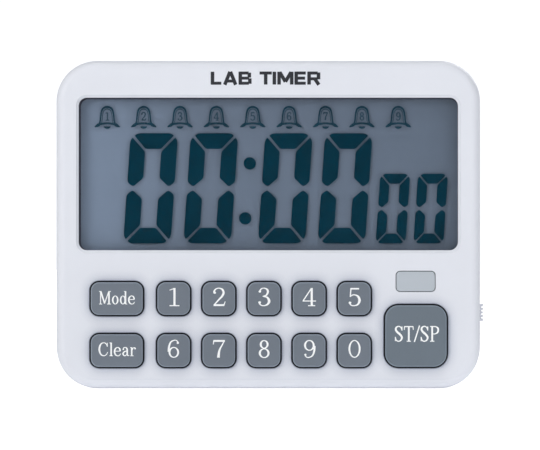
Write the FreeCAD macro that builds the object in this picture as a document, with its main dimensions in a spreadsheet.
"""Lab timer: a hand-sized desk and wall timer with a large display and a numeric pad.

Frame: +Z up, +X to the user's right, the display faces -Y.  The origin is the middle of the
lower edge that the timer stands on.  Depths are given as "front" values: the distance in
front of the plane where the two case halves meet, so a larger value is nearer to the user
and a point's Y is minus its front value.
"""
import FreeCAD, Part
import math
import os
import re
import Sketcher

Vector = FreeCAD.Vector
doc = FreeCAD.newDocument("lab_timer")
sheet = doc.addObject("Spreadsheet::Sheet", "sizes")

# ---------------------------------------------------------------- driving dimensions (mm)

DIMENSIONS = [
    # case
    ("case_width", 110.0),
    ("case_height", 85.0),
    ("corner_radius", 10.6),
    ("face_front", 10.0),
    ("back_front", -11.5),
    ("wall", 2.0),
    ("edge_round", 2.2),
    ("seam_step", 0.2),
    ("panel_inset", 2.3),
    # case screws and their towers
    ("lower_screw_x", 50.2),
    ("lower_screw_z", 9.5),
    ("upper_screw_x", 40.0),
    ("upper_screw_z", 80.3),
    ("boss_radius", 2.4),
    ("tower_radius", 2.9),
    ("pilot_radius", 0.8),
    ("screw_radius", 0.95),
    ("screw_hole_radius", 1.25),
    ("screw_head_radius", 1.9),
    ("screw_head_height", 1.4),
    ("screw_seat_front", -6.0),
    ("screw_sink_radius", 2.2),
    ("screw_tip_front", 6.0),
    # display window
    ("window_z", 55.62),
    ("window_width", 98.2),
    ("window_height", 39.5),
    ("window_radius", 2.15),
    ("window_bevel", 0.7),
    ("lens_rebate", 0.6),
    ("lens_margin", 1.3),
    ("lens_thickness", 1.0),
    ("lens_fit", 0.1),
    # liquid-crystal cell and its holder
    ("lcd_front", 7.3),
    ("lcd_width", 101.0),
    ("lcd_bottom", 31.3),
    ("lcd_top", 77.0),
    ("lcd_ledge", 2.9),
    ("glass_thickness", 0.7),
    ("polariser_thickness", 0.2),
    ("polariser_inset", 0.6),
    ("holder_rim", 0.6),
    ("holder_bottom", 30.6),
    ("zebra_width", 92.0),
    ("zebra_height", 2.2),
    # circuit board
    ("board_front", 3.5),
    ("board_thickness", 1.2),
    ("board_width", 94.4),
    ("board_bottom", 3.2),
    ("board_top", 76.8),
    ("post_radius", 1.5),
    ("post_z", 16.62),
    ("board_screw_radius", 0.7),
    ("board_screw_head", 1.3),
    ("board_screw_head_height", 0.7),
    ("board_screw_length", 4.2),
    ("holder_screw_length", 2.7),
    ("holder_screw_x", 43.0),
    ("holder_screw_z", 71.0),
    # parts soldered to the board
    ("blob_x", 14.0),
    ("blob_z", 55.0),
    ("blob_radius", 6.5),
    ("blob_height", 1.3),
    ("blob_round", 1.2),
    ("crystal_x", -2.0),
    ("crystal_z", 67.0),
    ("crystal_radius", 1.1),
    ("crystal_length", 6.2),
    ("crystal_wire_radius", 0.2),
    ("crystal_wire_length", 2.0),
    ("capacitor_width", 2.0),
    ("capacitor_depth", 0.9),
    ("capacitor_height", 1.25),
    ("resistor_width", 1.6),
    ("resistor_depth", 0.5),
    ("resistor_height", 0.8),
    ("transistor_x", -26.0),
    ("transistor_z", 58.0),
    ("transistor_width", 2.9),
    ("transistor_depth", 1.1),
    ("transistor_height", 1.3),
    ("coil_x", -31.0),
    ("coil_z", 66.0),
    ("coil_radius", 2.5),
    ("coil_height", 2.8),
    ("led_width", 3.4),
    ("led_height", 2.8),
    ("led_base_depth", 1.2),
    ("led_dome_radius", 1.1),
    ("led_dome_depth", 0.9),
    # keypad
    ("key_x", -24.5),
    ("key_z", 23.35),
    ("key_pitch", 11.69),
    ("row_pitch", 13.45),
    ("key_size", 9.1),
    ("key_radius", 2.45),
    ("wide_key_x", -39.2),
    ("wide_key_width", 14.1),
    ("start_x", 38.2),
    ("start_z", 13.66),
    ("start_size", 16.55),
    ("start_radius", 3.75),
    ("key_gap", 0.3),
    ("key_proud", 1.5),
    ("key_round", 0.45),
    ("flange_margin", 0.9),
    ("flange_front", 7.85),
    ("flange_thickness", 1.0),
    ("plunger_front", 6.0),
    ("plunger_radius", 1.8),
    ("start_plunger_radius", 2.6),
    ("hole_round", 0.25),
    # silicone contact mat
    ("mat_width", 93.4),
    ("mat_bottom", 3.6),
    ("mat_top", 30.2),
    ("mat_thickness", 0.9),
    ("mat_round", 1.5),
    ("mat_cut_z", 24.3),
    ("mat_cut_half", 6.4),
    ("dome_front", 5.9),
    ("dome_radius", 3.6),
    ("dome_taper", 38.0),
    ("dome_room_taper", 22.8),
    ("dome_room_radius", 2.7),
    ("dome_room_front", 4.9),
    ("pill_radius", 1.5),
    ("pill_thickness", 0.4),
    # alarm lamp
    ("lamp_x", 38.15),
    ("lamp_z", 27.8),
    ("lamp_width", 10.2),
    ("lamp_height", 5.35),
    ("lamp_radius", 1.1),
    ("lamp_gap", 0.12),
    ("lamp_sunk", 0.15),
    ("lamp_back", 6.2),
    ("lamp_ear", 1.0),
    # slide switch
    ("switch_z", 19.7),
    ("switch_travel", 2.0),
    ("knob_length", 4.45),
    ("knob_depth", 3.0),
    ("knob_proud", 0.75),
    ("slot_gap", 0.2),
    ("switch_body_width", 4.0),
    ("switch_body_depth", 4.0),
    ("switch_body_height", 9.0),
    ("switch_mouth_depth", 2.0),
    ("switch_mouth_width", 2.6),
    ("stem_depth", 1.4),
    ("stem_height", 2.0),
    ("knob_plate_margin", 1.0),
    ("knob_plate_thickness", 1.2),
    ("knob_inside", 1.8),
    ("knob_groove_width", 0.4),
    ("knob_groove_depth", 0.45),
    ("knob_groove_pitch", 0.9),
    # battery bay
    ("bay_width", 50.0),
    ("bay_z", 25.3),
    ("bay_height", 22.6),
    ("bay_wall", 1.6),
    ("bay_floor_front", 0.75),
    ("bay_floor", 0.7),
    ("door_thickness", 1.6),
    ("door_gap", 0.2),
    ("door_grip_width", 12.0),
    ("door_grip_pitch", 1.4),
    ("door_rib_thickness", 0.8),
    ("door_rib_depth", 1.8),
    ("tongue_width", 9.0),
    ("tongue_height", 1.8),
    ("tongue_thickness", 0.7),
    ("latch_width", 10.0),
    ("latch_depth", 0.9),
    ("cell_radius", 5.15),
    ("cell_length", 43.6),
    ("cell_nub_radius", 1.9),
    ("cell_nub_length", 0.9),
    ("cell_front", -4.6),
    ("cell_pitch", 11.4),
    ("contact_thickness", 0.4),
    ("contact_height", 8.6),
    ("contact_depth", 8.0),
    ("tab_length", 4.2),
    ("tab_height", 3.0),
    ("tab_front", -0.7),
    ("spring_wire", 0.35),
    ("spring_radius", 2.6),
    ("spring_turns", 3.5),
    # fold-out stand
    ("stand_leg_x", 32.0),
    ("stand_leg_width", 4.0),
    ("stand_thickness", 2.8),
    ("stand_bottom", 3.2),
    ("stand_bar_height", 4.4),
    ("stand_gap", 0.3),
    ("pivot_z", 44.0),
    ("pivot_radius", 1.0),
    ("pivot_length", 1.5),
    ("pivot_clearance", 0.06),
    ("channel_wall", 1.3),
    ("nail_width", 16.0),
    ("nail_height", 4.8),
    ("nail_depth", 1.5),
    ("stand_grip_width", 18.0),
    ("stand_grip_pitch", 1.1),
    ("stand_grip_depth", 0.4),
    # magnets
    ("magnet_x", 42.0),
    ("magnet_z", 63.0),
    ("magnet_radius", 7.5),
    ("magnet_thickness", 3.0),
    ("magnet_sunk", 0.1),
    ("cup_wall", 1.5),
    # buzzer
    ("buzzer_z", 55.5),
    ("buzzer_radius", 13.5),
    ("buzzer_thickness", 0.3),
    ("ceramic_radius", 9.0),
    ("ceramic_thickness", 0.25),
    ("ring_inner_radius", 12.6),
    ("ring_height", 1.5),
    ("sound_hole_radius", 0.8),
    ("sound_ring_radius", 4.5),
    # hanging keyhole
    ("hang_z", 74.6),
    ("hang_radius", 3.5),
    ("hang_slot_radius", 1.8),
    ("hang_top_z", 80.0),
    # leads
    ("lead_radius", 0.5),
]

for row, (alias, number) in enumerate(DIMENSIONS, start=1):
    sheet.set("A%d" % row, alias.replace("_", " "))
    sheet.set("B%d" % row, str(number))
    sheet.setAlias("B%d" % row, alias)
doc.recompute()

ALIASES = {alias for alias, number in DIMENSIONS}
nodes = []


def sized(text):
    """Turn words such as 'key_size - 2 * key_gap' into an expression on the sheet."""
    def cell(match):
        word = match.group(0)
        return "sizes." + word if word in ALIASES else word
    return re.sub(r"[a-z_]+", cell, str(text))


def number(text):
    """Work out an expression on the sheet as a plain number."""
    return float(sheet.evalExpression(sized(text)))


# ---------------------------------------------------------------- sketches and features

def new_body(label):
    """Start a sub-part; its label names its file."""
    body = doc.addObject("PartDesign::Body", label)
    body.Label = label
    nodes.append(body)
    return body


def new_sketch(body, name, offset, plane="XZ_Plane"):
    """Start a sketch parallel to one of the body's own planes."""
    sketch = body.newObject("Sketcher::SketchObject", name)
    support = [item for item in body.Origin.OriginFeatures if item.Role == plane][0]
    sketch.AttachmentSupport = [(support, "")]
    sketch.MapMode = "FlatFace"
    sketch.setExpression("AttachmentOffset.Base.z", sized(offset))
    return sketch


def bind(sketch, kind, elements, text):
    """Add one driving constraint and tie its value to the sheet."""
    index = sketch.addConstraint(Sketcher.Constraint(kind, *elements, number(text)))
    sketch.setExpression("Constraints[%d]" % index, sized(text))


def draw_circle(sketch, centre_x, centre_z, radius):
    """Draw a circle held by its centre and its radius."""
    centre = Vector(number(centre_x), number(centre_z), 0)
    circle = Part.Circle(centre, Vector(0, 0, 1), number(radius))
    index = sketch.addGeometry(circle, False)
    bind(sketch, "DistanceX", (-1, 1, index, 3), centre_x)
    bind(sketch, "DistanceY", (-1, 1, index, 3), centre_z)
    bind(sketch, "Radius", (index,), radius)


def draw_outline(sketch, corners):
    """Draw a closed outline of straight lines through (x, z) corners."""
    points = [Vector(number(x), number(z), 0) for x, z in corners]
    count = len(points)
    lines = [Part.LineSegment(points[i], points[(i + 1) % count]) for i in range(count)]
    first = sketch.GeometryCount
    sketch.addGeometry(lines, False)
    for i in range(count):
        following = first + (i + 1) % count
        sketch.addConstraint(Sketcher.Constraint("Coincident", first + i, 2, following, 1))
    for i, (x, z) in enumerate(corners):
        bind(sketch, "DistanceX", (-1, 1, first + i, 1), x)
        bind(sketch, "DistanceY", (-1, 1, first + i, 1), z)


def draw_box(sketch, centre_x, centre_z, width, height):
    """Draw a sharp-cornered rectangle about its centre."""
    left = "(%s) - (%s) / 2" % (centre_x, width)
    right = "(%s) + (%s) / 2" % (centre_x, width)
    low = "(%s) - (%s) / 2" % (centre_z, height)
    high = "(%s) + (%s) / 2" % (centre_z, height)
    draw_outline(sketch, [(left, low), (right, low), (right, high), (left, high)])


def draw_rounded_box(sketch, centre_x, centre_z, width, height, radius):
    """Draw a rectangle with four equal corner arcs, fully constrained."""
    half_x, half_z = number(width) / 2, number(height) / 2
    mid_x, mid_z, round_off = number(centre_x), number(centre_z), number(radius)
    arc_x, arc_z = half_x - round_off, half_z - round_off
    first = sketch.GeometryCount
    sides = [((-arc_x, -half_z), (arc_x, -half_z)), ((half_x, -arc_z), (half_x, arc_z)),
             ((arc_x, half_z), (-arc_x, half_z)), ((-half_x, arc_z), (-half_x, -arc_z))]
    centres = [(arc_x, -arc_z), (arc_x, arc_z), (-arc_x, arc_z), (-arc_x, -arc_z)]
    for (start, end), (centre_u, centre_v), turn in zip(sides, centres, range(4)):
        begin = Vector(mid_x + start[0], mid_z + start[1], 0)
        finish = Vector(mid_x + end[0], mid_z + end[1], 0)
        sketch.addGeometry(Part.LineSegment(begin, finish), False)
        centre = Vector(mid_x + centre_u, mid_z + centre_v, 0)
        circle = Part.Circle(centre, Vector(0, 0, 1), round_off)
        angle = (turn - 1) * math.pi / 2
        sketch.addGeometry(Part.ArcOfCircle(circle, angle, angle + math.pi / 2), False)
    joins = []
    for side in range(4):
        line, arc = first + 2 * side, first + 2 * side + 1
        following = first + 2 * ((side + 1) % 4)
        joins.append(Sketcher.Constraint("Tangent", line, 2, arc, 1))
        joins.append(Sketcher.Constraint("Tangent", arc, 2, following, 1))
        joins.append(Sketcher.Constraint(("Horizontal", "Vertical")[side % 2], line))
    for side in range(1, 4):
        joins.append(Sketcher.Constraint("Equal", first + 1, first + 2 * side + 1))
    sketch.addConstraint(joins)
    bottom, right, top, left = (first + 2 * side for side in range(4))
    bind(sketch, "Radius", (first + 1,), radius)
    bind(sketch, "DistanceX", (-1, 1, left, 1), "(%s) - (%s) / 2" % (centre_x, width))
    bind(sketch, "DistanceX", (-1, 1, right, 1), "(%s) + (%s) / 2" % (centre_x, width))
    bind(sketch, "DistanceY", (-1, 1, bottom, 1), "(%s) - (%s) / 2" % (centre_z, height))
    bind(sketch, "DistanceY", (-1, 1, top, 1), "(%s) + (%s) / 2" % (centre_z, height))


def pad(body, sketch, length, taper=None):
    """Grow a sketch forwards (or along +X for a side sketch)."""
    feature = body.newObject("PartDesign::Pad", sketch.Name + "_pad")
    feature.Profile = sketch
    feature.setExpression("Length", sized(length))
    if taper:
        feature.setExpression("TaperAngle", "-" + sized(taper))
    sketch.Visibility = False
    return feature


def pocket(body, sketch, depth, forwards=False):
    """Cut a sketch backwards, or forwards when it starts at the back."""
    feature = body.newObject("PartDesign::Pocket", sketch.Name + "_pocket")
    feature.Profile = sketch
    feature.Reversed = forwards
    feature.setExpression("Length", sized(depth))
    sketch.Visibility = False
    return feature


def mirror(body, features):
    """Repeat features on the other side of the middle plane."""
    feature = body.newObject("PartDesign::Mirrored", features[0].Name + "_mirror")
    side_plane = [item for item in body.Origin.OriginFeatures if item.Role == "YZ_Plane"][0]
    feature.Originals = features
    feature.MirrorPlane = (side_plane, [""])
    body.Tip = feature
    return feature


def repeat(body, original, sketch, axis, count, pitch):
    """Repeat one feature along an axis of its sketch."""
    feature = body.newObject("PartDesign::LinearPattern", original.Name + "_row")
    feature.Originals = [original]
    feature.Direction = (sketch, [axis])
    feature.Mode = "Spacing"
    feature.setExpression("Offset", sized(pitch))
    feature.Occurrences = count
    feature.Reversed = axis == "V_Axis"
    body.Tip = feature
    return feature


def round_edges(body, wanted, radius):
    """Round the body's edges that a test picks."""
    doc.recompute()
    tip = body.Tip
    edges = ["Edge%d" % (i + 1) for i, edge in enumerate(tip.Shape.Edges) if wanted(edge)]
    feature = body.newObject("PartDesign::Fillet", body.Label + "_round")
    feature.Base = (tip, edges)
    feature.setExpression("Radius", sized(radius))
    return feature


def edge_at_front(front):
    """Make a test for edges that lie in one plane parallel to the face."""
    level = -number(front)

    def lies_there(edge):
        box = edge.BoundBox
        return abs(box.YMin - level) < 1e-4 and abs(box.YMax - level) < 1e-4
    return lies_there


# ---------------------------------------------------------------- plain solids

def place(solid, x, front, z):
    """Tie a primitive's place to the sheet."""
    solid.setExpression("Placement.Base.x", sized(x))
    solid.setExpression("Placement.Base.y", "-(%s)" % sized(front))
    solid.setExpression("Placement.Base.z", sized(z))
    return solid


def block(name, centre_x, front, centre_z, width, depth, height):
    """A box given by its middle, its front face and its size."""
    solid = doc.addObject("Part::Box", name)
    solid.setExpression("Length", sized(width))
    solid.setExpression("Width", sized(depth))
    solid.setExpression("Height", sized(height))
    low_x = "(%s) - (%s) / 2" % (centre_x, width)
    low_z = "(%s) - (%s) / 2" % (centre_z, height)
    return place(solid, low_x, front, low_z)


def cylinder(name, x, front, z, radius, length, axis="forwards"):
    """A cylinder that starts at a front level and grows forwards, or to the right."""
    solid = doc.addObject("Part::Cylinder", name)
    turn = {"forwards": (Vector(1, 0, 0), 90), "right": (Vector(0, 1, 0), 90)}[axis]
    solid.Placement = FreeCAD.Placement(Vector(0, 0, 0), FreeCAD.Rotation(*turn))
    solid.setExpression("Radius", sized(radius))
    solid.setExpression("Height", sized(length))
    return place(solid, x, front, z)


def fuse(name, solids):
    """Join solids into one."""
    result = doc.addObject("Part::MultiFuse", name)
    result.Shapes = solids
    return result


def cut(name, base, tool):
    """Take a tool away from a solid."""
    result = doc.addObject("Part::Cut", name)
    result.Base = base
    result.Tool = tool
    return result


def common(name, base, tool):
    """Keep only what a solid and a tool share."""
    result = doc.addObject("Part::Common", name)
    result.Base = base
    result.Tool = tool
    return result


def group(name, solids):
    """Keep separate solids together in one sub-part."""
    result = doc.addObject("Part::Compound", name)
    result.Links = solids
    return result


def keep(solid, label):
    """Make a plain solid a sub-part."""
    solid.Label = label
    nodes.append(solid)
    return solid


# ---------------------------------------------------------------- where things sit

POINTS_PER_TURN = 8
KEY_PLACES = {}
for digit in range(1, 6):
    KEY_PLACES["key_%d" % digit] = ("key_x + %d * key_pitch" % (digit - 1), "key_z")
for column, digit in enumerate((6, 7, 8, 9, 0)):
    KEY_PLACES["key_%d" % digit] = ("key_x + %d * key_pitch" % column, "key_z - row_pitch")
KEY_PLACES["key_mode"] = ("wide_key_x", "key_z")
KEY_PLACES["key_clear"] = ("wide_key_x", "key_z - row_pitch")
KEY_PLACES["key_start_stop"] = ("start_x", "start_z")

POST_PLACES = [("key_x - key_pitch / 2 - 0.15", "post_z"),
               ("key_x + 1.5 * key_pitch", "post_z"),
               ("key_x + 3.5 * key_pitch", "post_z")]
SCREW_PLACES = [(sign + "lower_screw_x", "lower_screw_z") for sign in ("-", "")]
SCREW_PLACES += [(sign + "upper_screw_x", "upper_screw_z") for sign in ("-", "")]


CAPACITOR_PLACES = [("blob_x %s" % across, "blob_z %s" % up)
                    for across in ("- 11", "+ 12") for up in ("+ 5", "- 5")]
CAPACITOR_PLACES += [("blob_x", "blob_z - 9.5"), ("crystal_x - 10", "crystal_z")]
RESISTOR_PLACES = [(str(x), "board_top - 3.8") for x in (-20, -15, -10, -5, 10, 15)]


def key_size(name):
    """Width, height and corner radius of one key's hole."""
    if name == "key_start_stop":
        return "start_size", "start_size", "start_radius"
    if name in ("key_mode", "key_clear"):
        return "wide_key_width", "key_size", "key_radius"
    return "key_size", "key_size", "key_radius"


# ---------------------------------------------------------------- front case

def space_inside(name, inset, back, front):
    """A rounded block between two levels, inset from the sides, for dividing a case half."""
    body = doc.addObject("PartDesign::Body", name)
    outline = new_sketch(body, name + "_outline", back)
    draw_rounded_box(outline, "0", "case_height / 2", "case_width - 2 * %s" % inset,
                     "case_height - 2 * %s" % inset, "corner_radius - %s" % inset)
    pad(body, outline, "%s - (%s)" % (front, back))
    return body


def make_front_case():
    """The front half, divided into its face panel, its rim and the posts behind the panel."""
    body = doc.addObject("PartDesign::Body", "front_case")
    body.Label = "front_case"
    outline = new_sketch(body, "front_outline", "0")
    draw_rounded_box(outline, "0", "case_height / 2", "case_width - 2 * seam_step",
                     "case_height - 2 * seam_step", "corner_radius - seam_step")
    pad(body, outline, "face_front")
    round_edges(body, edge_at_front("face_front"), "edge_round")

    hollow = new_sketch(body, "front_hollow", "0")
    draw_rounded_box(hollow, "0", "case_height / 2", "case_width - 2 * wall",
                     "case_height - 2 * wall", "corner_radius - wall")
    pocket(body, hollow, "face_front - wall", forwards=True)

    rebate = new_sketch(body, "lens_rebate_sketch", "face_front - wall")
    draw_rounded_box(rebate, "0", "window_z", "window_width + 2 * lens_margin",
                     "window_height + 2 * lens_margin", "window_radius")
    pocket(body, rebate, "lens_rebate", forwards=True)

    window = new_sketch(body, "window_sketch", "face_front")
    draw_rounded_box(window, "0", "window_z", "window_width", "window_height", "window_radius")
    pocket(body, window, "wall + 1")
    doc.recompute()
    on_face = edge_at_front("face_front")
    high = number("window_z - window_height / 2") - 0.1

    def window_edge(edge):
        inside = abs(edge.BoundBox.Center.x) < number("window_width") / 2 + 0.1
        in_height = edge.BoundBox.ZMin > high
        low_enough = edge.BoundBox.ZMax < number("window_z + window_height / 2") + 0.1
        return on_face(edge) and inside and in_height and low_enough
    rim = ["Edge%d" % (i + 1) for i, edge in enumerate(body.Tip.Shape.Edges)
           if window_edge(edge)]
    opened = body.Tip
    bevel = body.newObject("PartDesign::Chamfer", "window_bevel_cut")
    bevel.Base = (opened, rim)
    bevel.setExpression("Size", sized("window_bevel"))

    small = new_sketch(body, "small_key_holes", "face_front")
    draw_rounded_box(small, "key_x", "key_z", "key_size", "key_size", "key_radius")
    first_hole = pocket(body, small, "wall + 1")
    repeat(body, first_hole, small, "H_Axis", 5, "key_pitch")
    lower = new_sketch(body, "lower_key_holes", "face_front")
    draw_rounded_box(lower, "key_x", "key_z - row_pitch", "key_size", "key_size", "key_radius")
    lower_hole = pocket(body, lower, "wall + 1")
    repeat(body, lower_hole, lower, "H_Axis", 5, "key_pitch")
    for name in ("key_mode", "key_clear", "key_start_stop"):
        hole = new_sketch(body, name + "_hole", "face_front")
        draw_rounded_box(hole, *KEY_PLACES[name], *key_size(name))
        pocket(body, hole, "wall + 1")
    lamp = new_sketch(body, "lamp_hole", "face_front")
    draw_rounded_box(lamp, "lamp_x", "lamp_z", "lamp_width", "lamp_height", "lamp_radius")
    pocket(body, lamp, "wall + 1")

    keypad_top = number("lamp_z + lamp_height") + 0.5
    case_side = number("case_width / 2 - edge_round - seam_step") - 0.5
    case_low = number("edge_round + seam_step") + 0.5

    def hole_edge(edge):
        box = edge.BoundBox
        inside = box.ZMax < keypad_top and box.ZMin > case_low
        return on_face(edge) and inside and abs(box.Center.x) < case_side
    round_edges(body, hole_edge, "hole_round")

    bosses = new_sketch(body, "front_bosses", "0")
    pilots = new_sketch(body, "front_pilots", "0")
    for x, z in SCREW_PLACES:
        draw_circle(bosses, x, z, "boss_radius")
        draw_circle(pilots, x, z, "pilot_radius")
    pad(body, bosses, "face_front - wall + 0.1")
    posts = new_sketch(body, "board_posts", "board_front")
    post_pilots = new_sketch(body, "board_post_pilots", "board_front")
    for x, z in POST_PLACES:
        draw_circle(posts, x, z, "post_radius")
        draw_circle(post_pilots, x, z, "board_screw_radius - 0.1")
    pad(body, posts, "face_front - wall - board_front + 0.1")
    pocket(body, pilots, "screw_tip_front + 0.5", forwards=True)
    pocket(body, post_pilots, "3.6", forwards=True)
    cut_switch_slot(body)

    panel_back = "face_front - wall"
    panel_space = space_inside("front_panel_space", "panel_inset", panel_back, "face_front + 1")
    post_space = space_inside("front_post_space", "wall", "-1", panel_back)
    keep(common("front_panel_solid", body, panel_space), "front_panel")
    keep(common("front_post_solids", body, post_space), "front_posts")
    keep(cut("front_rim_solid", cut("front_without_panel", body, panel_space), post_space),
         "front_rim")


def cut_switch_slot(body):
    """The slot in the right side wall that the slide switch knob stands out of."""
    slot = new_sketch(body, body.Label + "_switch_slot", "case_width / 2 - wall - 1", "YZ_Plane")
    draw_box(slot, "0", "switch_z + switch_travel / 2", "knob_depth + 2 * slot_gap",
             "knob_length + switch_travel + 2 * slot_gap")
    pocket(body, slot, "wall + 3", forwards=True)


# ---------------------------------------------------------------- rear case

def make_rear_case():
    """The rear half: battery bay, stand channel, magnet cups, sound holes and keyhole."""
    body = doc.addObject("PartDesign::Body", "rear_case")
    body.Label = "rear_case"
    outline = new_sketch(body, "rear_outline", "back_front")
    draw_rounded_box(outline, "0", "case_height / 2", "case_width", "case_height",
                     "corner_radius")
    pad(body, outline, "-back_front")
    round_edges(body, edge_at_front("back_front"), "edge_round")
    hollow = new_sketch(body, "rear_hollow", "0")
    draw_rounded_box(hollow, "0", "case_height / 2", "case_width - 2 * wall",
                     "case_height - 2 * wall", "corner_radius - wall")
    pocket(body, hollow, "-back_front - wall")

    inner_back = "back_front + wall - 0.05"
    bay = new_sketch(body, "bay_block", inner_back)
    draw_box(bay, "0", "bay_z", "bay_width + 2 * bay_wall", "bay_height + 2 * bay_wall")
    pad(body, bay, "bay_floor_front + bay_floor - (%s)" % inner_back)

    channel_depth = "stand_thickness + stand_gap"
    rail = new_sketch(body, "stand_rail_block", inner_back)
    inner_edge = "stand_leg_x - stand_leg_width / 2 - stand_gap - channel_wall"
    outer_edge = "stand_leg_x + stand_leg_width / 2 + stand_gap + pivot_length + channel_wall"
    rail_top = "pivot_z + stand_thickness / 2 + stand_gap + channel_wall"
    draw_outline(rail, [(inner_edge, "wall - 0.1"), (outer_edge, "wall - 0.1"),
                        (outer_edge, rail_top), (inner_edge, rail_top)])
    rail_height = "%s + channel_wall - wall + 0.05" % channel_depth
    rail_pad = pad(body, rail, rail_height)
    mirror(body, [rail_pad])
    sill = new_sketch(body, "stand_sill_block", inner_back)
    sill_top = "stand_bottom + stand_bar_height + stand_gap + channel_wall"
    draw_outline(sill, [("-(%s)" % inner_edge + " - 1", "wall - 0.1"),
                        (inner_edge + " + 1", "wall - 0.1"),
                        (inner_edge + " + 1", sill_top),
                        ("-(%s)" % inner_edge + " - 1", sill_top)])
    pad(body, sill, rail_height)

    towers = new_sketch(body, "screw_towers", inner_back)
    cups = new_sketch(body, "magnet_cups", inner_back)
    ring = new_sketch(body, "buzzer_ring", inner_back)
    for x, z in SCREW_PLACES:
        draw_circle(towers, x, z, "tower_radius")
    for sign in ("-", ""):
        draw_circle(cups, sign + "magnet_x", "magnet_z", "magnet_radius + cup_wall")
    draw_circle(ring, "0", "buzzer_z", "buzzer_radius + 1.5")
    draw_circle(ring, "0", "buzzer_z", "ring_inner_radius")
    pad(body, towers, "-(%s)" % inner_back)
    pad(body, cups, "magnet_thickness + magnet_sunk + cup_wall - wall + 0.05")
    pad(body, ring, "ring_height + 0.05")

    opening = new_sketch(body, "bay_opening", "back_front")
    draw_box(opening, "0", "bay_z", "bay_width", "bay_height")
    pocket(body, opening, "bay_floor_front - back_front", forwards=True)
    seat = new_sketch(body, "door_seat", "back_front")
    draw_rounded_box(seat, "0", "bay_z", "bay_width + 2 * bay_wall", "bay_height + 2 * bay_wall",
                     "1")
    pocket(body, seat, "door_thickness", forwards=True)
    latch = new_sketch(body, "latch_notch", "back_front")
    draw_box(latch, "0", "bay_z + bay_height / 2 + bay_wall", "latch_width", "2 * bay_wall")
    pocket(body, latch, "latch_depth", forwards=True)

    leg = new_sketch(body, "leg_channel", "back_front")
    left = "stand_leg_x - stand_leg_width / 2 - stand_gap"
    right = "stand_leg_x + stand_leg_width / 2 + stand_gap"
    low = "stand_bottom - stand_gap"
    top = "pivot_z + stand_thickness / 2 + stand_gap"
    draw_outline(leg, [(left, low), (right, low), (right, top), (left, top)])
    leg_cut = pocket(body, leg, channel_depth, forwards=True)
    mirror(body, [leg_cut])
    bar = new_sketch(body, "bar_channel", "back_front")
    bar_top = "stand_bottom + stand_bar_height + stand_gap"
    draw_outline(bar, [("-(%s)" % left + " - 1", low), (left + " + 1", low),
                       (left + " + 1", bar_top), ("-(%s)" % left + " - 1", bar_top)])
    pocket(body, bar, channel_depth, forwards=True)
    nail = new_sketch(body, "nail_notch", "back_front")
    draw_rounded_box(nail, "0", bar_top, "nail_width", "nail_height", "2")
    pocket(body, nail, "nail_depth", forwards=True)

    socket = new_sketch(body, "pivot_socket", "stand_leg_x + stand_leg_width / 2", "YZ_Plane")
    draw_circle(socket, "-back_front - stand_thickness / 2", "pivot_z",
                "pivot_radius + pivot_clearance")
    socket_cut = pocket(body, socket, "stand_gap + pivot_length + 0.1", forwards=True)
    mirror(body, [socket_cut])

    magnets = new_sketch(body, "magnet_pockets", "back_front")
    for sign in ("-", ""):
        draw_circle(magnets, sign + "magnet_x", "magnet_z", "magnet_radius + 0.1")
    pocket(body, magnets, "magnet_thickness + magnet_sunk", forwards=True)

    sinks = new_sketch(body, "screw_sinks", "back_front")
    holes = new_sketch(body, "screw_holes", "back_front")
    for x, z in SCREW_PLACES:
        draw_circle(sinks, x, z, "screw_sink_radius")
        draw_circle(holes, x, z, "screw_hole_radius")
    pocket(body, sinks, "screw_seat_front - back_front", forwards=True)
    pocket(body, holes, "-back_front + 1", forwards=True)

    sound = new_sketch(body, "sound_holes", "back_front")
    draw_circle(sound, "0", "buzzer_z", "sound_hole_radius")
    for step in range(6):
        angle = math.radians(60 * step)
        across = "%.6f * sound_ring_radius" % math.cos(angle)
        up = "buzzer_z + %.6f * sound_ring_radius" % math.sin(angle)
        draw_circle(sound, across, up, "sound_hole_radius")
    pocket(body, sound, "wall + 1", forwards=True)

    hang = new_sketch(body, "hanging_hole", "back_front")
    draw_circle(hang, "0", "hang_z", "hang_radius")
    pocket(body, hang, "wall + 1", forwards=True)
    hang_slot = new_sketch(body, "hanging_slot", "back_front")
    draw_rounded_box(hang_slot, "0", "(hang_z + hang_top_z) / 2", "2 * hang_slot_radius",
                     "hang_top_z - hang_z + 2 * hang_slot_radius - 2", "hang_slot_radius - 0.01")
    pocket(body, hang_slot, "wall + 1", forwards=True)
    cut_contact_slots(body)
    cut_switch_slot(body)
    divide_rear_case(body)


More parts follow.
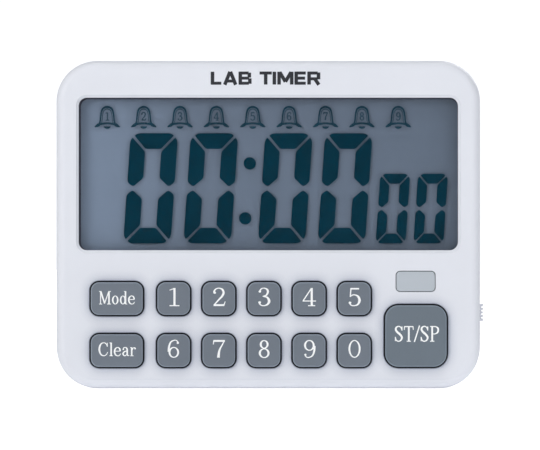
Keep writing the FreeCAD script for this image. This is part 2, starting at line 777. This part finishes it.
def divide_rear_case(body):
    """Divide the rear half into panels, rim, bay and its frame, stand channel and bosses."""
    panel_front = "back_front + wall"
    inside_front = "bay_floor_front + bay_floor + 1"
    panel_space = space_inside("rear_panel_space", "panel_inset", "back_front - 1", panel_front)
    inner_space = space_inside("rear_inner_space", "wall", panel_front, inside_front)
    panel = common("rear_panel_solid", body, panel_space)
    low = "stand_bottom + stand_bar_height + stand_gap + channel_wall"
    high = "pivot_z + stand_thickness / 2 + stand_gap + channel_wall"
    half_width = "stand_leg_x - stand_leg_width / 2 - stand_gap - channel_wall"
    lower_space = block("lower_space", "0", panel_front, "(%s) / 2" % high, "case_width",
                        "wall + 1", high)
    frame_space = block("frame_space", "0", panel_front, "(%s + %s) / 2" % (low, high),
                        "2 * (%s)" % half_width, "wall + 1", "%s - (%s)" % (high, low))
    lower_panel = common("lower_panel", panel, lower_space)
    keep(cut("upper_panel", panel, lower_space), "rear_panel")
    keep(cut("lower_panel_around_bay", lower_panel, frame_space), "rear_panel_lower")
    keep(common("bay_frame_solid", lower_panel, frame_space), "bay_frame")
    keep(cut("rear_rim_solid", cut("rear_without_panel", body, panel_space), inner_space),
         "rear_rim")
    fittings = common("rear_fittings", body, inner_space)
    deep = "%s - (%s)" % (inside_front, panel_front)
    bay_space = block("bay_space", "0", inside_front, "bay_z", "bay_width + 2 * bay_wall", deep,
                      "bay_height + 2 * bay_wall")
    stand_top = "pivot_z + stand_thickness + channel_wall"
    stand_side = "stand_leg_x + stand_leg_width + pivot_length + channel_wall"
    stand_space = block("stand_space", "0", inside_front, "(%s) / 2" % stand_top,
                        "2 * (%s)" % stand_side, deep, stand_top)
    ring_side = "2 * (buzzer_radius + 2)"
    ring_space = block("ring_space", "0", inside_front, "buzzer_z", ring_side, deep, ring_side)
    middle_space = fuse("middle_space", [bay_space, ring_space])
    channel_space = cut("channel_space", stand_space, middle_space)
    keep(common("bay_solid", fittings, bay_space), "battery_bay")
    keep(common("channel_solid", fittings, channel_space), "stand_channel")
    keep(cut("boss_solids", cut("fittings_without_bay", fittings, bay_space), channel_space),
         "rear_bosses")


def cut_contact_slots(body):
    """Slots in the bay's left end wall for the tabs of the two lead contacts."""
    slots = new_sketch(body, "contact_slots", "-bay_width / 2 - bay_wall - 1", "YZ_Plane")
    for sign in ("-", "+"):
        draw_box(slots, "0.9", "bay_z %s cell_pitch / 2" % sign, "0.8", "3.6")
    pocket(body, slots, "bay_wall + 2", forwards=True)


# ---------------------------------------------------------------- display stack

def make_display():
    """Lens, liquid-crystal cell, its holder and the zebra strip."""
    lens = new_body("window_lens")
    sheet_sketch = new_sketch(lens, "lens_sketch",
                              "face_front - wall + lens_rebate - lens_thickness")
    draw_rounded_box(sheet_sketch, "0", "window_z",
                     "window_width + 2 * lens_margin - 2 * lens_fit",
                     "window_height + 2 * lens_margin - 2 * lens_fit",
                     "window_radius - lens_fit")
    pad(lens, sheet_sketch, "lens_thickness")

    middle = "(lcd_bottom + lcd_top) / 2"
    tall = "lcd_top - lcd_bottom"
    rear_middle = "(lcd_bottom + lcd_ledge + lcd_top) / 2"
    rear_tall = "lcd_top - lcd_bottom - lcd_ledge"
    front_film = "lcd_front"
    front_glass = "lcd_front - polariser_thickness"
    rear_glass = "lcd_front - polariser_thickness - glass_thickness"
    rear_film = "lcd_front - polariser_thickness - 2 * glass_thickness"
    film_width = "lcd_width - 2 * polariser_inset"
    film_tall = "(%s) - 2 * polariser_inset" % rear_tall
    keep(block("film_a", "0", front_film, rear_middle, film_width, "polariser_thickness",
               film_tall), "lcd_front_polariser")
    keep(block("glass_a", "0", front_glass, middle, "lcd_width", "glass_thickness", tall),
         "lcd_front_glass")
    keep(block("glass_b", "0", rear_glass, rear_middle, "lcd_width", "glass_thickness",
               rear_tall), "lcd_rear_glass")
    keep(block("film_b", "0", rear_film, rear_middle, film_width, "polariser_thickness",
               film_tall), "lcd_rear_polariser")

    holder = new_body("lcd_holder")
    tray_back = "lcd_front - 2 * polariser_thickness - 2 * glass_thickness"
    frame = new_sketch(holder, "holder_frame", "board_front")
    holder_middle = "(holder_bottom + lcd_top + 0.1 + holder_rim) / 2"
    holder_tall = "lcd_top + 0.1 + holder_rim - holder_bottom"
    draw_box(frame, "0", holder_middle, "lcd_width + 0.2 + 2 * holder_rim", holder_tall)
    pad(holder, frame, "lcd_front - board_front")
    tray = new_sketch(holder, "holder_tray", "lcd_front")
    draw_box(tray, "0", middle, "lcd_width + 0.2", "(%s) + 0.2" % tall)
    pocket(holder, tray, "lcd_front - (%s)" % tray_back)
    slot = new_sketch(holder, "zebra_slot", "lcd_front")
    draw_box(slot, "0", "lcd_bottom + zebra_height / 2 + 0.1", "zebra_width + 0.4",
             "zebra_height + 0.3")
    pocket(holder, slot, "lcd_front - board_front + 1")
    pilots = new_sketch(holder, "holder_pilots", "board_front")
    for sign in ("-", ""):
        draw_circle(pilots, sign + "holder_screw_x", "holder_screw_z", "board_screw_radius - 0.1")
    pocket(holder, pilots, "1.7", forwards=True)

    contact_level = rear_glass
    keep(block("zebra", "0", contact_level, "lcd_bottom + zebra_height / 2 + 0.1", "zebra_width",
               "(%s) - board_front" % contact_level, "zebra_height"), "zebra_strip")


# ---------------------------------------------------------------- keys and contact mat

def make_keys():
    """Thirteen keycaps, each with a retaining flange and a plunger behind it."""
    for name, (x, z) in KEY_PLACES.items():
        width, height, radius = key_size(name)
        body = new_body(name)
        cap = new_sketch(body, name + "_cap", "flange_front - 0.05")
        draw_rounded_box(cap, x, z, "%s - 2 * key_gap" % width, "%s - 2 * key_gap" % height,
                         "%s - key_gap" % radius)
        pad(body, cap, "face_front + key_proud - flange_front + 0.05")
        round_edges(body, edge_at_front("face_front + key_proud"), "key_round")
        flange = new_sketch(body, name + "_flange", "flange_front - flange_thickness")
        grown = "%s - 2 * key_gap + 2 * flange_margin"
        draw_rounded_box(flange, x, z, grown % width, grown % height, radius)
        pad(body, flange, "flange_thickness")
        plunger = new_sketch(body, name + "_plunger", "plunger_front")
        big = name == "key_start_stop"
        draw_circle(plunger, x, z, "start_plunger_radius" if big else "plunger_radius")
        pad(body, plunger, "flange_front - flange_thickness - plunger_front + 0.05")


def make_contact_mat():
    """The silicone mat with a dome behind every key, and the carbon pill in each dome."""
    body = new_body("contact_mat")
    sheet_sketch = new_sketch(body, "mat_sheet", "board_front")
    draw_rounded_box(sheet_sketch, "0", "(mat_bottom + mat_top) / 2", "mat_width",
                     "mat_top - mat_bottom", "mat_round")
    pad(body, sheet_sketch, "mat_thickness")
    domes = new_sketch(body, "mat_domes", "board_front + mat_thickness - 0.05")
    rooms = new_sketch(body, "mat_rooms", "board_front")
    for x, z in KEY_PLACES.values():
        draw_circle(domes, x, z, "dome_radius")
        draw_circle(rooms, x, z, "dome_room_radius")
    pad(body, domes, "dome_front - board_front - mat_thickness + 0.05", taper="dome_taper")
    room = pocket(body, rooms, "dome_room_front - board_front", forwards=True)
    room.setExpression("TaperAngle", "-" + sized("dome_room_taper"))
    holes = new_sketch(body, "mat_post_holes", "board_front + mat_thickness + 1")
    for x, z in POST_PLACES:
        draw_circle(holes, x, z, "post_radius + 0.2")
    pocket(body, holes, "mat_thickness + 2")
    window = new_sketch(body, "mat_lamp_window", "board_front + mat_thickness + 1")
    left, right = "lamp_x - mat_cut_half", "mat_width / 2 + 1"
    draw_outline(window, [(left, "mat_cut_z"), (right, "mat_cut_z"),
                          (right, "mat_top + 1"), (left, "mat_top + 1")])
    pocket(body, window, "mat_thickness + 2")
    pills = []
    for name, (x, z) in KEY_PLACES.items():
        pills.append(cylinder("pill_" + name, x, "dome_room_front - pill_thickness", z,
                              "pill_radius", "pill_thickness"))
    keep(group("pills", pills), "carbon_pills")


# ---------------------------------------------------------------- board and its parts

def make_board():
    """The circuit board with screw holes, and everything soldered on it."""
    body = new_body("main_board")
    back = "board_front - board_thickness"
    plate = new_sketch(body, "board_plate", back)
    draw_rounded_box(plate, "0", "(board_bottom + board_top) / 2", "board_width",
                     "board_top - board_bottom", "1")
    pad(body, plate, "board_thickness")
    holes = new_sketch(body, "board_holes", back)
    for x, z in POST_PLACES:
        draw_circle(holes, x, z, "board_screw_radius + 0.15")
    for sign in ("-", ""):
        draw_circle(holes, sign + "holder_screw_x", "holder_screw_z", "board_screw_radius + 0.15")
    pocket(body, holes, "board_thickness + 1", forwards=True)

    blob = new_body("chip_blob")
    blob_back = "%s - blob_height" % back
    dome = new_sketch(blob, "blob_sketch", blob_back)
    draw_circle(dome, "blob_x", "blob_z", "blob_radius")
    pad(blob, dome, "blob_height")
    round_edges(blob, edge_at_front(blob_back), "blob_round")

    crystal_front = "%s - crystal_radius - 0.05" % back
    can = cylinder("crystal_can", "crystal_x", crystal_front, "crystal_z", "crystal_radius",
                   "crystal_length", "right")
    wires = [cylinder("crystal_wire_%d" % i, "crystal_x + crystal_length - 0.2", crystal_front,
                      "crystal_z + %s" % dz, "crystal_wire_radius", "crystal_wire_length",
                      "right") for i, dz in enumerate((-0.5, 0.5))]
    keep(fuse("crystal", [can] + wires), "quartz_crystal")

    capacitors = [block("capacitor_%d" % i, x, back, z, "capacitor_width", "capacitor_depth",
                        "capacitor_height") for i, (x, z) in enumerate(CAPACITOR_PLACES)]
    keep(group("capacitors", capacitors), "chip_capacitors")
    resistors = [block("resistor_%d" % i, x, back, z, "resistor_width", "resistor_depth",
                       "resistor_height") for i, (x, z) in enumerate(RESISTOR_PLACES)]
    keep(group("resistors", resistors), "chip_resistors")
    keep(block("transistor", "transistor_x", back, "transistor_z", "transistor_width",
               "transistor_depth", "transistor_height"), "buzzer_transistor")
    keep(cylinder("coil", "coil_x", "%s - coil_height" % back, "coil_z", "coil_radius",
                  "coil_height"), "buzzer_inductor")
    make_lamp()


def make_lamp():
    """The lamp on the board and the window in front of it, held by two ears."""
    led_front = "board_front + led_base_depth"
    led_base = block("led_base", "lamp_x", led_front, "lamp_z", "led_width", "led_base_depth",
                     "led_height")
    led_dome = cylinder("led_dome", "lamp_x", "%s - 0.1" % led_front, "lamp_z",
                        "led_dome_radius", "led_dome_depth")
    keep(fuse("led", [led_base, led_dome]), "alarm_led")
    lens = new_body("lamp_lens")
    face = new_sketch(lens, "lamp_face", "lamp_back")
    draw_rounded_box(face, "lamp_x", "lamp_z", "lamp_width - 2 * lamp_gap",
                     "lamp_height - 2 * lamp_gap", "lamp_radius - lamp_gap")
    pad(lens, face, "face_front - lamp_sunk - lamp_back")
    ears = new_sketch(lens, "lamp_ears", "face_front - wall - lamp_ear")
    draw_box(ears, "lamp_x", "lamp_z", "lamp_width + 2 * lamp_ear", "lamp_height - 2")
    pad(lens, ears, "lamp_ear")


def make_switch():
    """The slide switch on the board's right edge, its stem and its ribbed knob."""
    body = new_body("switch_body")
    shell_front = "board_front - board_thickness"
    shell = new_sketch(body, "switch_shell", "%s - switch_body_depth" % shell_front)
    draw_box(shell, "(board_width - switch_body_width) / 2", "switch_z + switch_travel / 2",
             "switch_body_width", "switch_body_height")
    pad(body, shell, "switch_body_depth")
    mouth = new_sketch(body, "switch_mouth", "board_width / 2 - switch_mouth_width", "YZ_Plane")
    draw_box(mouth, "0", "switch_z + switch_travel / 2", "switch_mouth_depth",
             "stem_height + switch_travel + 0.6")
    pocket(body, mouth, "switch_mouth_width + 1", forwards=True)
    stem_x = "board_width / 2 - switch_mouth_width + 0.3"
    knob_back = "case_width / 2 - wall - knob_inside"
    keep(block("stem", "(%s + %s + 0.4) / 2" % (stem_x, knob_back), "stem_depth / 2",
               "switch_z", "%s + 0.4 - (%s)" % (knob_back, stem_x), "stem_depth",
               "stem_height"), "switch_stem")

    knob = new_body("switch_knob")
    grip = new_sketch(knob, "knob_grip", knob_back, "YZ_Plane")
    draw_box(grip, "0", "switch_z", "knob_depth", "knob_length")
    pad(knob, grip, "case_width / 2 + knob_proud - (%s)" % knob_back)
    plate = new_sketch(knob, "knob_plate", knob_back, "YZ_Plane")
    draw_box(plate, "0", "switch_z", "knob_depth + 2 * knob_plate_margin",
             "knob_length + 3 * knob_plate_margin")
    pad(knob, plate, "knob_plate_thickness")
    seat = new_sketch(knob, "knob_seat", "%s - 1" % knob_back, "YZ_Plane")
    draw_box(seat, "0", "switch_z", "stem_depth", "stem_height")
    pocket(knob, seat, "1.4", forwards=True)
    groove = new_sketch(knob, "knob_groove", "case_width / 2 + knob_proud - knob_groove_depth",
                        "YZ_Plane")
    for step in (-1.5, -0.5, 0.5, 1.5):
        draw_box(groove, "0", "switch_z + %s * knob_groove_pitch" % step, "knob_depth + 1",
                 "knob_groove_width")
    pocket(knob, groove, "1", forwards=True)


# ---------------------------------------------------------------- screws

def screw(name, x, z, seat, head_radius, head_height, radius, length):
    """A pan-head screw with a crossed driver recess, driven forwards from behind."""
    head = cylinder(name + "_head", x, "%s - %s" % (seat, head_height), z, head_radius,
                    head_height)
    shank = cylinder(name + "_shank", x, "%s - 0.05" % seat, z, radius, "%s + 0.05" % length)
    solid = fuse(name + "_solid", [head, shank])
    slot_front = "%s - %s * 0.45" % (seat, head_height)
    long_side, short_side = "1.3 * %s" % head_radius, "0.28 * %s" % head_radius
    deep = "%s * 0.7" % head_height
    across = block(name + "_across", x, slot_front, z, long_side, deep, short_side)
    upright = block(name + "_upright", x, slot_front, z, short_side, deep, long_side)
    recess = fuse(name + "_recess", [across, upright])
    return cut(name, solid, recess)


def make_screws():
    """Four case screws, three screws for the board and two for the display holder."""
    case_screws = [screw("case_screw_%d" % i, x, z, "screw_seat_front", "screw_head_radius",
                         "screw_head_height", "screw_radius",
                         "(screw_tip_front - screw_seat_front)")
                   for i, (x, z) in enumerate(SCREW_PLACES)]
    keep(group("case_screw_set", case_screws), "case_screws")
    seat = "(board_front - board_thickness)"
    head = ("board_screw_head", "board_screw_head_height")
    board_screws = [screw("board_screw_%d" % i, x, z, seat, *head, "board_screw_radius",
                          "board_screw_length")
                    for i, (x, z) in enumerate(POST_PLACES)]
    keep(group("board_screw_set", board_screws), "board_screws")
    holder_screws = [screw("holder_screw_%d" % i, sign + "holder_screw_x", "holder_screw_z",
                           seat, *head, "board_screw_radius", "holder_screw_length")
                     for i, sign in enumerate(("-", ""))]
    keep(group("holder_screw_set", holder_screws), "holder_screws")


# ---------------------------------------------------------------- battery bay

def make_cells():
    """Two AAA cells, side by side and the opposite way round."""
    tip = "-bay_width / 2 + contact_thickness + 0.1"
    for label, sign, flipped in (("battery_cell_lower", "-", False),
                                 ("battery_cell_upper", "+", True)):
        z = "bay_z %s cell_pitch / 2" % sign
        start = "%s + cell_nub_length" % tip
        can_x, nub_x = start, "%s - cell_nub_length" % start
        if flipped:
            can_x = "-(%s) - cell_length" % start
            nub_x = "-(%s) - 0.05" % start
        can = cylinder(label + "_can", can_x, "cell_front", z, "cell_radius", "cell_length",
                       "right")
        nub = cylinder(label + "_nub", nub_x, "cell_front", z, "cell_nub_radius",
                       "cell_nub_length + 0.05", "right")
        keep(fuse(label + "_solid", [can, nub]), label)


def lead(points, radius):
    """A round lead along straight runs joined by tangent arcs as large as the runs allow."""
    corners = [Vector(*point) for point in points]
    edges = []
    start = corners[0]
    for before, corner, after in zip(corners, corners[1:], corners[2:]):
        into = (corner - before).normalize()
        out = (after - corner).normalize()
        turn = into.getAngle(out)
        reach = 0.45 * min((corner - before).Length, (after - corner).Length)
        entry, leave = corner - into * reach, corner + out * reach
        bend = reach / math.tan(turn / 2)
        inward = (out - into).normalize()
        centre = corner + inward * (bend / math.cos(turn / 2))
        middle = centre - inward * bend
        edges.append(Part.LineSegment(start, entry).toShape())
        edges.append(Part.Arc(entry, middle, leave).toShape())
        start = leave
    edges.append(Part.LineSegment(start, corners[-1]).toShape())
    path = Part.Wire(edges)
    heading = corners[1] - corners[0]
    profile = Part.Wire([Part.makeCircle(radius, corners[0], heading)])
    solid = path.makePipeShell([profile], True, False)
    expected = math.pi * radius ** 2 * path.Length
    if abs(solid.Volume - expected) > 0.02 * expected:
        raise RuntimeError("a lead's volume is %.3f, not %.3f" % (solid.Volume, expected))
    return solid


def spring_shape(start, end, z):
    """A coil spring along X between two stations, of round wire."""
    wire_radius = number("spring_wire")
    radius = number("spring_radius")
    first, last = start + wire_radius, end - wire_radius
    steps = int(number("spring_turns") * POINTS_PER_TURN)
    points = []
    for step in range(steps + 1):
        angle = 2 * math.pi * step / POINTS_PER_TURN
        points.append((first + (last - first) * step / steps,
                       radius * math.cos(angle) - number("cell_front"),
                       radius * math.sin(angle) + z))
    return lead(points, wire_radius)


def make_contacts():
    """Positive and negative contacts with solder tabs, the bridge, and the two springs."""
    left_x = "-bay_width / 2 + contact_thickness / 2"
    for label, sign in (("battery_contact_positive", "-"), ("battery_contact_negative", "+")):
        z = "bay_z %s cell_pitch / 2" % sign
        plate = block(label + "_plate", left_x, "cell_front + contact_depth / 2", z,
                      "contact_thickness", "contact_depth", "contact_height")
        tab = block(label + "_tab", "-bay_width / 2 + contact_thickness - tab_length / 2",
                    "tab_front", z, "tab_length", "contact_thickness", "tab_height")
        keep(fuse(label + "_solid", [plate, tab]), label)
    keep(block("bridge", "bay_width / 2 - contact_thickness / 2",
               "cell_front + contact_depth / 2", "bay_z", "contact_thickness", "contact_depth",
               "cell_pitch + contact_height"), "battery_contact_bridge")
    tip = number("bay_width / 2 - contact_thickness")
    cell_end = number("-bay_width / 2 + contact_thickness + 0.1 + cell_nub_length + cell_length")
    low, high = number("bay_z - cell_pitch / 2"), number("bay_z + cell_pitch / 2")
    springs = doc.addObject("Part::Feature", "springs")
    springs.Shape = Part.Compound([spring_shape(cell_end, tip, low),
                                   spring_shape(-tip, -cell_end, high)])
    keep(springs, "battery_springs")


def make_door():
    """The battery door: a plate with a finger ridge, a latch tongue and two guide ribs."""
    body = new_body("battery_door")
    plate = new_sketch(body, "door_plate", "back_front")
    draw_rounded_box(plate, "0", "bay_z", "bay_width + 2 * bay_wall - 2 * door_gap",
                     "bay_height + 2 * bay_wall - 2 * door_gap", "0.8")
    pad(body, plate, "door_thickness - 0.1")
    tongue = new_sketch(body, "door_tongue", "back_front")
    draw_box(tongue, "0", "bay_z + bay_height / 2 + bay_wall + 0.3", "tongue_width",
             "tongue_height")
    pad(body, tongue, "tongue_thickness")
    inside = "back_front + door_thickness - 0.15"
    ribs = new_sketch(body, "door_ribs", inside)
    for sign in ("-", ""):
        draw_box(ribs, sign + "15", "bay_z - bay_height / 2 + 0.8", "8", "door_rib_thickness")
    draw_box(ribs, "0", "bay_z", "30", "door_rib_thickness")
    pad(body, ribs, "door_rib_depth")
    grip = new_sketch(body, "door_grip", "back_front")
    for step in range(4):
        draw_box(grip, "0", "bay_z + bay_height / 2 - 1 - %d * door_grip_pitch" % step,
                 "door_grip_width", "door_grip_pitch / 2")
    pocket(body, grip, "0.5", forwards=True)


# ---------------------------------------------------------------- stand, magnets, buzzer

def make_stand():
    """The fold-out U-shaped stand with moulded pivot stubs."""
    body = new_body("stand")
    pivot_y = "-back_front - stand_thickness / 2"
    half = "stand_thickness / 2"
    bar = new_sketch(body, "stand_bar", "back_front")
    draw_box(bar, "0", "stand_bottom + stand_bar_height / 2", "2 * stand_leg_x",
             "stand_bar_height")
    pad(body, bar, "stand_thickness")
    stub_starts = ("-stand_leg_x - stand_leg_width / 2 - pivot_length",
                   "stand_leg_x + stand_leg_width / 2 - 0.1")
    for side, stub_start in zip(("-", ""), stub_starts):
        inner = side + "stand_leg_x - stand_leg_width / 2"
        leg = new_sketch(body, "stand_leg", inner, "YZ_Plane")
        draw_outline(leg, [("%s - %s" % (pivot_y, half), "stand_bottom"),
                           ("%s + %s" % (pivot_y, half), "stand_bottom"),
                           ("%s + %s" % (pivot_y, half), "pivot_z"),
                           ("%s - %s" % (pivot_y, half), "pivot_z")])
        pad(body, leg, "stand_leg_width")
        knuckle = new_sketch(body, "stand_knuckle", inner, "YZ_Plane")
        draw_circle(knuckle, pivot_y, "pivot_z", half)
        pad(body, knuckle, "stand_leg_width")
        stub = new_sketch(body, "stand_stub", stub_start, "YZ_Plane")
        draw_circle(stub, pivot_y, "pivot_z", "pivot_radius")
        pad(body, stub, "pivot_length + 0.1")
    grip = new_sketch(body, "stand_grip", "back_front")
    for step in range(3):
        draw_box(grip, "0", "stand_bottom + %d * stand_grip_pitch" % (step + 1),
                 "stand_grip_width", "stand_grip_pitch - 0.6")
    pocket(body, grip, "stand_grip_depth", forwards=True)


def make_magnets_and_buzzer():
    """Two disc magnets in the back, and the piezo disc behind the sound holes."""
    magnets = [cylinder("magnet_%d" % i, sign + "magnet_x", "back_front + magnet_sunk",
                        "magnet_z", "magnet_radius", "magnet_thickness")
               for i, sign in enumerate(("-", ""))]
    keep(group("magnet_pair", magnets), "magnets")
    disc_front = "back_front + wall + ring_height"
    keep(cylinder("disc", "0", disc_front, "buzzer_z", "buzzer_radius", "buzzer_thickness"),
         "buzzer_disc")
    keep(cylinder("ceramic", "0", "%s + buzzer_thickness" % disc_front, "buzzer_z",
                  "ceramic_radius", "ceramic_thickness"), "buzzer_ceramic")


def make_leads():
    """Two leads from the battery contacts and two from the buzzer, up to the board."""
    board_y = -number("board_front - board_thickness")
    tab_y = -number("tab_front")
    tab_x = number("-bay_width / 2 - tab_length") + 1
    radius = number("lead_radius")
    battery = []
    for sign in (-1, 1):
        z = number("bay_z") + sign * number("cell_pitch") / 2
        battery.append(lead([(tab_x, tab_y, z), (tab_x, tab_y - 1.4, z),
                             (tab_x - 3.5, board_y + 1.4, z + 1.5),
                             (tab_x - 3.5, board_y, z + 1.5)], radius))
    battery_leads = doc.addObject("Part::Feature", "battery_lead_pair")
    battery_leads.Shape = Part.Compound(battery)
    keep(battery_leads, "battery_leads")

    disc_y = -number("back_front + wall + ring_height + buzzer_thickness")
    ceramic_y = disc_y - number("ceramic_thickness")
    z = number("buzzer_z")
    routes = [[(-4, ceramic_y, z + 3), (-4, ceramic_y - 2.5, z + 3), (-14, 1.5, z + 5),
               (-20, 1.0, z + 5.5), (-20, board_y, z + 5.5)],
              [(-11.2, disc_y, z), (-11.2, disc_y - 2.5, z), (-16, 1.5, z - 1.5),
               (-20, 1.0, z - 2), (-20, board_y, z - 2)]]
    buzzer_leads = doc.addObject("Part::Feature", "buzzer_lead_pair")
    buzzer_leads.Shape = Part.Compound([lead(route, radius) for route in routes])
    keep(buzzer_leads, "buzzer_leads")


# ---------------------------------------------------------------- build, check, export

def check_and_export():
    """Refuse a failed feature or an empty cut, then write one file for each sub-part."""
    doc.recompute()
    for item in doc.Objects:
        if "Invalid" in item.State or "Error" in item.State:
            raise RuntimeError("%s failed: %s" % (item.Label, item.State))
        if item.TypeId == "PartDesign::Pocket":
            if item.Shape.Volume > item.BaseFeature.Shape.Volume - 1e-6:
                raise RuntimeError("%s cuts nothing" % item.Label)
    os.makedirs("parts", exist_ok=True)
    for node in nodes:
        if node.Shape.isNull() or not node.Shape.isValid() or not node.Shape.Solids:
            raise RuntimeError("%s has no valid solid" % node.Label)
        node.Shape.exportStep("parts/%s.step" % node.Label)
        print("%-26s solids %2d  volume %9.2f" % (node.Label, len(node.Shape.Solids),
                                                  node.Shape.Volume))


make_front_case()
make_rear_case()
make_display()
make_keys()
make_contact_mat()
make_board()
make_switch()
make_screws()
make_cells()
make_contacts()
make_door()
make_stand()
make_magnets_and_buzzer()
make_leads()
check_and_export()
